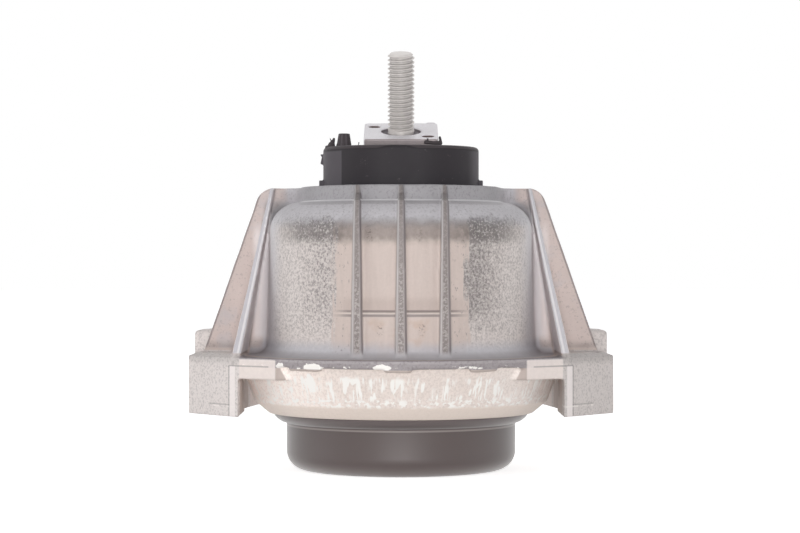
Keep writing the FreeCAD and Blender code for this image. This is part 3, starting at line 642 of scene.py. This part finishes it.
        # Painted shade: the rounded tops of the feet are darker, and the right feet 13 % darker.
        upper = (up + self.jitter * 0.3).over(38.5, 41.5) * (1 - self.lug)
        foot = self.shaded(foot, 1 - 0.20 * upper - 0.13 * self.x.over(0, 6))
        web = up.under(41.5, 42) * across.near(51, 6.6, 0.6) * self.off_cone.over(1.0, 1.6)
        self.lay(web * 0.8, self.tinted(tone(244, 233, 228), 0.88, 0.24))
        self.lay(ear, foot)
        front = self.y.under(-20, -19)
        seen = ear * front
        low = up.under(39, 39.5)
        for line, paint in (
            (across.near(60.1, 0.9, 0.3) * seen * low * 0.8, tone(246, 238, 236)),
            (across.near(61.45, 0.1, 0.18) * seen * low * 0.5, self.dark),
            (up.near(25.3, 0.12, 0.22) * seen * across.over(61, 61.4) * 0.4, self.dark),
            (up.near(24.7, 0.16, 0.2) * seen * self.patch.over(0.45, 0.55) * 0.6, tone(246, 240, 236)),
            (up.near(39.3, 0.14, 0.2) * across.near(54, 7.2, 0.4) * front * 0.5, self.dark),
        ):
            self.lay(line, paint)

    def cone(self):
        """Bright cone of the collar, rubbed down its length, with chips along its corner, and painted light
        that makes it paler toward its sides and on its left.
        """
        up, across, way, fleck = self.up, self.across, self.round, self.fleck
        streaks = self.noise(0.95, 2.5, 0.65, self.vector(way, up * 0.10, 0.0)).over(0.50, 0.56)
        groups = self.noise(7, 2.5, 0.6, self.vector(way, up * 0.45, 0.0)).over(0.46, 0.54)
        solid = self.noise(4.2, 2.5, 0.55, self.vector(way, up * 0.42, 3.0)).over(0.585, 0.62)
        middle = (up + self.jitter * 0.5).near(32.0, 3.2, 1.6)
        away, height = way + 120.6, up - 33.8
        spot = self.math("SQRT", away * away + height * height * 0.3) + (self.cloud - 0.5) * 1.6
        spot = spot.under(1.7, 2.0)
        self.rubbed = (streaks * groups).most(solid).most(spot) * middle.most(spot)
        chips = self.noise(1.9, 3, 0.65, self.vector(way * 0.75, up, 0.0)).over(0.50, 0.58)
        chips = chips * up.near(27.0, 0.7, 1.6)
        skin = self.shaded(self.colours.collar_skin, 0.84 + 0.16 * self.cloud + 0.12 * self.drawn_down)
        # Painted light: the cone is made paler toward its sides, and up to 14 % brighter on the left.
        skin = self.blend(across.over(24, 42) * 0.5, skin, tone(250, 241, 236))
        skin = self.shaded(skin, 1 + 0.14 * self.x.under(-34, -12))
        skin = self.blend(fleck.under(0.42, 0.52) * 0.2, skin, tone(168, 150, 142))
        skin = self.blend(up.under(25.2, 25.8) * 0.7, skin, tone(247, 233, 222))
        skin = self.blend(self.rubbed.most(chips), skin, tone(253, 250, 246))
        self.lay(self.collar, skin)

    def complete(self):
        """Lay the zones one over the other and wire up the surface."""
        for zone in (self.bell, self.rough_panels, self.ribs, self.ledge_and_neck, self.pits,
                     self.wings, self.fins, self.flange_rim, self.feet, self.cone):
            zone()
        relief = (self.fleck * (0.3 + self.rough) + self.cloud * 0.8 - self.pit * 1.5
                  + self.rubbed * self.collar * 0.5)
        roughness = 0.6 + 0.12 * (self.patch - 0.5) - 0.08 * self.rubbed
        return self.finish(roughness, relief, bump=0.4, depth=0.16, metallic=0.12)


def core_aluminium(colours):
    """Machined head with a faint as-cast mottle, a front face darkened as painted shade, and painted shade in
    the recess and the holes.
    """
    f = Finish("core_aluminium")
    axis = Vector(MOUNTS["stud"]["axis"])
    face = Vector(MOUNTS["head_face"]["pos_m"]).dot(axis) / MM
    stud = Vector(MOUNTS["stud"]["pos_m"]) / MM
    along = f.y * axis.y + f.z * axis.z
    down = f.y * axis.z - f.z * axis.y - (stud.y * axis.z - stud.z * axis.y)
    blotch, fine = f.noise(2.4, 3), f.noise(0.5, 2, 0.6)
    f.base = f.shaded(colours.core_face, 0.92 + 0.16 * blotch)
    f.lay(fine.under(0.36, 0.46) * 0.15, colours.core_grain)
    # Painted shade: the head's front face is much darker than its top.
    front = down.under(-13.6, -13.1)
    f.lay(front * 0.85, f.shaded(tone(142, 129, 129), 0.8 + 0.4 * blotch))
    # Painted shade in the recess round the stud and in the two holes beside it.
    sunk = along.under(face - 0.5, face - 0.2)
    recess = f.math("SQRT", f.x * f.x + down * down).under(7.5, 7.8) * sunk
    f.lay(recess, f.shaded(tone(128, 122, 126), 0.85 + 0.3 * blotch))
    for side in (-1, 1):
        beside, behind = f.x - side * LOCATOR[0], down + side * LOCATOR[1]
        hole = f.math("SQRT", beside * beside + behind * behind).under(2.4, 2.7) * sunk
        f.lay(hole, tone(112, 95, 92))
    return f.finish(0.46 + 0.12 * blotch, fine + blotch, bump=0.3, depth=0.05, metallic=0.2)


def zinc_steel(colours):
    """Dull zinc with painted shade in the thread's roots."""
    f = Finish("zinc_steel")
    axis = Vector(MOUNTS["stud"]["axis"])
    middle = Vector(MOUNTS["stud"]["pos_m"]) / MM
    end = MOUNTS["stud"]["dims"]["length_mm"] / 2
    lean = (f.y - middle.y) * axis.z - (f.z - middle.z) * axis.y
    along = (f.y - middle.y) * axis.y + (f.z - middle.z) * axis.z
    radius = f.math("SQRT", f.x * f.x + lean * lean)
    root = radius.under(4.25, 4.8) * along.under(end - 0.2, end + 0.2)
    blotch = f.noise(1.3, 3, 0.6)
    f.base = f.shaded(colours.stud_face, 0.88 + 0.24 * blotch)
    # Painted shade in the roots of the thread.
    f.shade(1 - 0.32 * root)
    return f.finish(0.42 + 0.18 * blotch, f.noise(0.3, 2), bump=0.2, depth=0.03, metallic=0.45)


def rubber(name, base_colour, dust=0.25):
    """Moulded rubber with a faint bloom and fine grain."""
    f = Finish(name)
    bloom, grain = f.noise(5, 4, 0.6), f.noise(0.35, 2)
    f.base = f.shaded(base_colour, 0.82 + 0.4 * bloom)
    f.lay(f.cells(4.2).under(0.05, 0.09) * dust, tone(150, 142, 140))
    return f.finish(0.55 + 0.2 * bloom, grain + bloom, bump=0.25, depth=0.06, specular_ior_level=0.3)


def buffer_rubber(colours):
    """Rubber of the buffer, with a raised line under the top edge, ends made paler as painted sheen, faint
    mould marks and a painted highlight on the nub's ridges.
    """
    f = Finish("buffer_rubber")
    bloom, grain = f.noise(5, 4, 0.6), f.noise(0.35, 2)
    f.base = f.shaded(colours.buffer_face, 0.8 + 0.4 * bloom)
    low = f.z.under(104.5, 111)
    f.lay(low * 0.3, tone(34, 32, 38))
    # Painted sheen: the buffer's rounded ends are paler.
    ends = f.x.under(-21.7, -21.4) * 0.5 + f.x.over(24.0, 27.5) * 0.42
    f.lay(ends * f.z.under(116.2, 117), tone(104, 99, 105))
    height = f.z - abs(f.x + 1.2).under(1.5, 8.5) * 1.1
    line = height.near(117.0, 0.1, 0.25)
    f.lay(height.over(117.1, 117.5) * 0.55, tone(78, 70, 73))
    f.lay(line * 0.6, tone(30, 26, 29))
    mark = grain.over(0.58, 0.68) * f.x.near(-13.4, 0.4, 1.6) * f.z.near(112.6, 0.8, 1.6)
    scuff = f.noise(1.6, 4, 0.7).over(0.66, 0.72).most(mark)
    f.lay(scuff * 0.3, tone(130, 123, 126))
    # Painted highlight on the ridges of the nub's flutes.
    ridge = f.math("SINE", f.math("ARCTAN2", f.y - NUB[1], f.x - NUB[0]) * NUB_FLUTES).over(0.0, 0.7)
    nub = f.z.over(118.6, 119.2) * f.x.near(NUB[0], 4.0, 0.3) * f.y.near(NUB[1], 4.0, 0.3)
    f.lay(nub * ridge * 0.5, tone(98, 92, 96))
    relief = grain * 0.6 + bloom - line * 2
    return f.finish(0.5 + 0.2 * bloom, relief, bump=0.3, depth=0.08, specular_ior_level=0.25,
                    sheen_weight=0.06, sheen_roughness=0.4)


def cap_coat(colours):
    """Dip coat, smooth and satin, with a faint orange peel, a painted highlight line under the lip and a
    paler band at the foot as painted reflection.
    """
    f = Finish("cap_coat")
    slow, peel = f.noise(9, 3), f.noise(1.1, 2)
    f.base = f.shaded(colours.cap_face, 0.93 + 0.14 * slow)
    f.lay(f.z.over(17.4, 18.0) * 0.45, tone(86, 74, 74))
    # Painted highlight line under the lip.
    f.lay(f.z.near(16.6, 0.2, 0.25) * 0.5, tone(168, 158, 154))
    f.lay(f.cells(6).under(0.02, 0.05) * 0.4, tone(60, 52, 52))
    # Painted reflection of the floor: a paler band at the cap's foot.
    f.lay(f.z.under(0.5, 5.0) * 0.4, tone(150, 138, 134))
    return f.finish(0.5 + 0.08 * slow, peel + slow, bump=0.12, depth=0.06, specular_ior_level=0.2,
                    coat_weight=0.9, coat_ior=1.7, coat_roughness=0.5, sheen_weight=0.45, sheen_roughness=0.4)


def ring_steel():
    """Phosphated steel, grey and crystalline."""
    f = Finish("ring_steel")
    crystal = f.noise(0.6, 4, 0.7)
    f.base = f.blend(crystal, tone(120, 120, 122), tone(168, 167, 166))
    return f.finish(0.45 + 0.2 * crystal, crystal, bump=0.2, depth=0.03, metallic=0.7)


def plate_plastic():
    """Glass-filled plastic with a flow pattern."""
    f = Finish("plate_plastic")
    flow = f.noise(3, 4, 0.65)
    fibre = f.noise(0.5, 2, 0.6)
    f.base = f.blend(flow, tone(66, 64, 63), tone(88, 86, 84))
    f.lay(fibre.over(0.62, 0.7) * 0.25, tone(140, 138, 134))
    return f.finish(0.5 + 0.2 * flow, fibre + flow, bump=0.25, depth=0.04)


# Pieces -------------------------------------------------


def neck_blends(radius):
    """Hollows that run the neck into the wings' front and back faces, one at each corner."""
    wing_half, inside, steps = 3.2, NECK_RADIUS - 8, 8
    low, high = 92.0, 103.68
    solids = []
    for side in (-1, 1):
        for out in (-1, 1):
            centre_y = WING_MIDDLE + out * (wing_half + radius)
            centre_x = math.sqrt((NECK_RADIUS + radius) ** 2 - centre_y ** 2)
            first = math.atan2(-centre_y, -centre_x)
            last = math.atan2(-out, 0.0)
            sweep = (last - first + math.pi) % math.tau - math.pi
            arc = [(centre_x + radius * math.cos(first + sweep * step / steps),
                    centre_y + radius * math.sin(first + sweep * step / steps)) for step in range(steps + 1)]
            plan = [*arc, (centre_x, WING_MIDDLE), (inside, WING_MIDDLE), (inside, arc[0][1])]
            solids.append(prism("neck_blend", [(side * x, y) for x, y in plan], low, high))
    return solids


def rib_tops():
    """Upper ends of the ribs, carried up the neck to the edge of the top, front and back."""
    stand, inside, root, tip = 1.3, 33.0, 1.1, 0.9
    low, high = 98.0, 103.6
    solids = []
    for x in (-RIB_SPACING, 0.0, RIB_SPACING):
        crest = math.sqrt((NECK_RADIUS + stand) ** 2 - x * x)
        for side in (-1, 1):
            plan = ((x - root, inside), (x + root, inside), (x + tip, crest), (x - tip, crest))
            solids.append(prism("rib_top", [(place, side * depth) for place, depth in plan], low, high))
    return solids


def on_skin(x, y, z):
    """1 on the outer skin, 0 in the bores and on the seats, which stay true."""
    return 1.0 if math.hypot(x, y) > 34 and z > 22 else 0.0


def on_rim(x, y, z):
    """1 on the lower edge of the flange's rim, fading over its height."""
    if math.hypot(x, y) > 57.5 and FLANGE_LOW - 2 < z < FLANGE_TOP:
        return max(0.0, 1 - abs(z - FLANGE_LOW) / 1.2)
    return 0.0


class BuildHousing(bpy.types.Operator):
    """Cast housing with softened edges, an uneven rim and the stubs left by trimming"""
    bl_idname = "mount.build_housing"
    bl_label = "Build housing"

    def execute(self, context):
        shape = context.scene.mount_shape
        piece = merged_copy("housing", "housing_casting")
        stub_radius, stub_lift = 60.6, 0.1
        stubs = []
        for angle, size in ((-123, 13.5), (-91, 9.0), (-62, 10.5), (57, 12.0), (118, 11.0)):
            turn = math.radians(angle)
            centre = (stub_radius * math.cos(turn), stub_radius * math.sin(turn), FLANGE_LOW + stub_lift)
            stubs.append(block("stub", centre, (2.6, size, 1.5), (0, 0, angle), 0.5))
        joined(piece, stubs + neck_blends(shape.neck_blend / MM) + rib_tops())
        skinned(piece, shape.casting_grid, passes=3, most=190000)
        uneven(piece, shape.casting_wave, scale=9, group=weighted(piece, "skin", on_skin))
        uneven(piece, shape.rim_wave, scale=7, direction="Z", group=weighted(piece, "rim", on_rim))
        piece.vertex_groups.clear()
        finished(piece, Casting(context.scene.mount_colours).complete(), "cast_aluminium", "housing")
        return {"FINISHED"}


class BuildCore(bpy.types.Operator):
    """Core with its leaning square head, softened edges and a small burr at the back edge"""
    bl_idname = "mount.build_core"
    bl_label = "Build core"

    def execute(self, context):
        piece = merged_copy("core", "core_head")
        joined(piece, [block("burr", (11.2, 13.1, 128.4), (3.0, 0.9, 0.8), (16, 0, 0), 0.25)])
        skinned(piece, context.scene.mount_shape.core_grid, passes=2, most=90000)
        finished(piece, core_aluminium(context.scene.mount_colours), "core_aluminium", "core")
        return {"FINISHED"}


class BuildStud(bpy.types.Operator):
    """Stud with a right-hand thread, turned shank and chamfered tip"""
    bl_idname = "mount.build_stud"
    bl_label = "Build stud"

    def execute(self, context):
        shape = context.scene.mount_shape
        mount = MOUNTS["stud"]
        axis, middle = Vector(mount["axis"]), Vector(mount["pos_m"])
        half, major = mount["dims"]["length_mm"] * MM / 2, mount["dims"]["r_mm"] * MM
        top = 2 * half + shape.tip_chamfer
        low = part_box("stud")[0]
        buried = (middle - axis * half - Vector((0, low.y, low.z))).length
        root = major - shape.thread_depth
        pitch = shape.thread_pitch
        plain = 1.6 * MM
        turns = math.ceil(top / pitch) + 2

        # One pitch of the profile, wound up into the threaded length.
        profile = ((root, 0), (root, 0.18), (major, 0.44), (major, 0.56), (root, 0.82), (root, 1))
        thread = drawn("stud_threaded", [(r, 0, height * pitch) for r, height in profile],
                       [(n, n + 1) for n in range(len(profile) - 1)])
        applied(thread, "SCREW", angle=math.radians(360), screw_offset=pitch, iterations=turns, axis="Z",
                steps=shape.thread_steps, render_steps=shape.thread_steps, use_merge_vertices=True,
                merge_threshold=0.001 * MM)
        with editing():
            bpy.ops.mesh.remove_doubles(threshold=0.002 * MM)
            for height, is_end in ((pitch * 1.05, False), (top + pitch * 1.05, True)):
                bpy.ops.mesh.select_all(action="SELECT")
                bpy.ops.mesh.bisect(plane_co=(0, 0, height), plane_no=(0, 0, 1), use_fill=True,
                                    clear_outer=is_end, clear_inner=not is_end)
            face_out()

        # Envelope with the tip's chamfer, a plain part above the recess and the buried rod.
        clear = major + 0.05 * MM
        envelope = turned_solid("stud_envelope", (
            (0, -buried), (clear, -buried), (clear, 2 * half), (major - shape.tip_chamfer, top), (0, top)))
        thread.data.transform(Matrix.Translation((0, 0, -pitch)))
        applied(thread, "BOOLEAN", operation="INTERSECT", object=envelope, solver="EXACT")
        bpy.data.objects.remove(envelope)
        rod, rod_top = major * 0.975, plain + 0.4 * MM
        joined(thread, [turned_solid("stud_shank", (
            (0, -buried), (rod, -buried), (rod, plain - 0.3 * MM), (root, rod_top), (0, rod_top)))])
        thread.name = thread.data.name = "stud_threaded"
        turn = Vector((0, 0, 1)).rotation_difference(axis).to_matrix().to_4x4()
        thread.data.transform(Matrix.Translation(middle - axis * half) @ turn)
        smooth(thread, angle=28)
        finished(thread, zinc_steel(context.scene.mount_colours), "zinc_steel", "stud")
        return {"FINISHED"}


class BuildBuffer(bpy.types.Operator):
    """Stop buffer with its fluted nub, side tabs and moulding flash"""
    bl_idname = "mount.build_buffer"
    bl_label = "Build buffer"

    def execute(self, context):
        piece = merged_copy("stop_buffer", "buffer_moulding")
        joined(piece, [
            fluted(spike("nub", NUB, 3.6, 2.4, 6.6, sides=36), NUB, NUB_FLUTES, 0.14),
            spike("flash", (-25.6, -6, 118.6), 2.1, 1.1, 3.0, (0, 10, 0)),
            spike("flash", (-27.0, -4, 118.0), 1.6, 0.7, 2.4, (0, -14, 10)),
            spike("flash", (-24.9, -6, 120.2), 0.8, 0.5, 3.4, (0, 14, 30), 6),
            spike("flash", (-25.6, -6, 120.6), 0.5, 0.2, 2.8, (0, -24, 0), 5),
            spike("flash", (-15.7, -6, 118.4), 0.6, 0.25, 4.0, (0, 6, 0), 6),
            spike("flash", (-28.8, 0, 115.4), 1.0, 0.3, 2.4, (0, -60, 0), 6),
            block("flash", (-29.0, 0, 113.6), (1.2, 1.4, 2.6), (0, 12, 0), 0.3),
            block("flash", (11.6, -12.7, 119.7), (6.6, 1.4, 1.5), (0, 5, 3), 0.3),
            block("flash", (14.4, -11.6, 120.6), (0.9, 2.2, 3.0), (8, -14, 0), 0.25),
            block("flash", (9.6, -12.9, 120.7), (0.7, 0.9, 1.3), (0, 20, 0), 0.2),
        ])
        skinned(piece, context.scene.mount_shape.rubber_grid, passes=2, most=110000)
        finished(piece, buffer_rubber(context.scene.mount_colours), "buffer_rubber", "stop_buffer")
        return {"FINISHED"}


class BuildCap(bpy.types.Operator):
    """Drawn bottom cap with its lip"""
    bl_idname = "mount.build_cap"
    bl_label = "Build cap"

    def execute(self, context):
        piece = merged_copy("bottom_cap", "bottom_cap_skin")
        applied(piece, "BEVEL", width=0.5 * MM, segments=3, limit_method="ANGLE",
                angle_limit=math.radians(25))
        smooth(piece, angle=32)
        finished(piece, cap_coat(context.scene.mount_colours), "cap_coat", "bottom_cap")
        return {"FINISHED"}


class DressInside(bpy.types.Operator):
    """Finishes for the sealed pieces inside the housing"""
    bl_idname = "mount.dress_inside"
    bl_label = "Dress inside"

    def execute(self, context):
        steel, plastic = ring_steel(), plate_plastic()
        finishes = {
            "spring_ring": steel, "bellows_ring": steel,
            "channel_plate_upper": plastic, "channel_plate_lower": plastic,
            "main_spring": rubber("spring_rubber", tone(50, 47, 48)),
            "decoupler_membrane": rubber("membrane_rubber", tone(60, 57, 58)),
            "bellows": rubber("bellows_rubber", tone(56, 53, 54)),
        }
        for node, material in finishes.items():
            mesh = frame["nodes"][node].data
            mesh.materials.clear()
            mesh.materials.append(material)
        return {"FINISHED"}


# Stage --------------------------------------------------


def seen_white(tree, lit, white):
    """Mix from a lit shader to a white one for what the camera, gloss and glass see."""
    path = tree.nodes.new("ShaderNodeLightPath")
    mixes = []
    for name in ("Is Glossy Ray", "Is Transmission Ray"):
        node = tree.nodes.new("ShaderNodeMath")
        node.operation = "MAXIMUM"
        tree.links.new(mixes[-1].outputs[0] if mixes else path.outputs["Is Camera Ray"], node.inputs[0])
        tree.links.new(path.outputs[name], node.inputs[1])
        mixes.append(node)
    mix = tree.nodes.new("ShaderNodeMixShader")
    tree.links.new(mixes[-1].outputs[0], mix.inputs[0])
    tree.links.new(lit, mix.inputs[1])
    tree.links.new(white, mix.inputs[2])
    return mix.outputs[0]


def lamp(name, place, size, energy):
    """Square soft lamp at a place in metres, aimed at the middle of the mount."""
    aim = Vector((0, 0, 0.07))
    light = bpy.data.lights.new(name, "AREA")
    light.size, light.energy = size, energy
    light.shape = "SQUARE"
    item = added(name, light)
    item.location = place
    item.rotation_euler = (aim - Vector(place)).to_track_quat("-Z", "Y").to_euler()


class BuildStage(bpy.types.Operator):
    """Pale floor, white surroundings, soft lamps and the camera"""
    bl_idname = "mount.build_stage"
    bl_label = "Build stage"

    def execute(self, context):
        stage = context.scene.mount_stage
        self.floor()
        self.surroundings(context.scene, stage)
        lamp("key_lamp", (-0.3, -0.4, 1.1), 0.7, stage.key)
        lamp("left_lamp", (-1.0, -0.15, 0.35), 0.7, stage.left)
        lamp("right_lamp", (1.0, -0.15, 0.35), 0.7, stage.side)
        lamp("front_lamp", (0.0, -1.2, 0.1), 0.24, stage.front)
        lamp("back_lamp", (0.1, 1.0, 0.7), 0.7, stage.side)
        self.camera(context.scene, stage)
        return {"FINISHED"}

    def floor(self):
        """Round pale floor that glows a little, so that it fades into the surroundings."""
        radius, grey, glow_strength = 6, 0.86, 0.72
        bpy.ops.mesh.primitive_circle_add(vertices=128, radius=radius, fill_type="NGON")
        floor = named("floor")
        material = bpy.data.materials.new("floor_white")
        material.use_nodes = True
        tree = material.node_tree
        surface = tree.nodes["Principled BSDF"]
        surface.inputs["Base Color"].default_value = (grey, grey, grey, 1)
        surface.inputs["Roughness"].default_value = 0.9
        glow = tree.nodes.new("ShaderNodeEmission")
        glow.inputs["Strength"].default_value = glow_strength
        both = tree.nodes.new("ShaderNodeAddShader")
        tree.links.new(surface.outputs[0], both.inputs[0])
        tree.links.new(glow.outputs[0], both.inputs[1])
        seen = seen_white(tree, surface.outputs[0], both.outputs[0])
        tree.links.new(seen, tree.nodes["Material Output"].inputs["Surface"])
        floor.data.materials.append(material)

    def surroundings(self, scene, stage):
        world = bpy.data.worlds.new("white_surroundings")
        scene.world = world
        world.use_nodes = True
        tree = world.node_tree
        tree.nodes.clear()
        whites = []
        for strength in (stage.sky, 1.0):
            node = tree.nodes.new("ShaderNodeBackground")
            node.inputs["Color"].default_value = (1, 1, 1, 1)
            node.inputs["Strength"].default_value = strength
            whites.append(node.outputs[0])
        out = tree.nodes.new("ShaderNodeOutputWorld")
        tree.links.new(seen_white(tree, *whites), out.inputs["Surface"])

    def camera(self, scene, stage):
        data = bpy.data.cameras.new("camera")
        data.lens, data.sensor_width = stage.focal_length, 36
        camera = added("camera", data)
        camera.location = (stage.camera_side, -stage.camera_distance, stage.camera_height)
        camera.rotation_euler = (math.radians(90), 0, 0)
        scene.camera = camera
        scene.view_settings.view_transform = "Standard"


class MountPanel(bpy.types.Panel):
    """The mount's steps, in the order that they are run"""
    bl_idname = "VIEW3D_PT_engine_mount"
    bl_label = "Engine mount"
    bl_space_type = "VIEW_3D"
    bl_region_type = "UI"
    bl_category = "Mount"

    def draw(self, context):
        for step in STEPS:
            self.layout.operator(step.bl_idname)
        for group in (context.scene.mount_shape, context.scene.mount_colours, context.scene.mount_stage):
            box = self.layout.box()
            for name in group.__annotations__:
                box.prop(group, name)


GROUPS = {"mount_shape": MountShape, "mount_colours": MountColours, "mount_stage": MountStage}
STEPS = (BuildStage, BuildHousing, BuildCore, BuildStud, BuildBuffer, BuildCap, DressInside)


def register():
    for kind in (*GROUPS.values(), *STEPS, MountPanel):
        bpy.utils.register_class(kind)
    for name, kind in GROUPS.items():
        setattr(bpy.types.Scene, name, PointerProperty(type=kind))


def unregister():
    for name in GROUPS:
        delattr(bpy.types.Scene, name)
    for kind in reversed((*GROUPS.values(), *STEPS, MountPanel)):
        bpy.utils.unregister_class(kind)


def main():
    register()
    for step in STEPS:
        family, action = step.bl_idname.split(".")
        getattr(getattr(bpy.ops, family), action)()


if __name__ == "__main__":
    main()
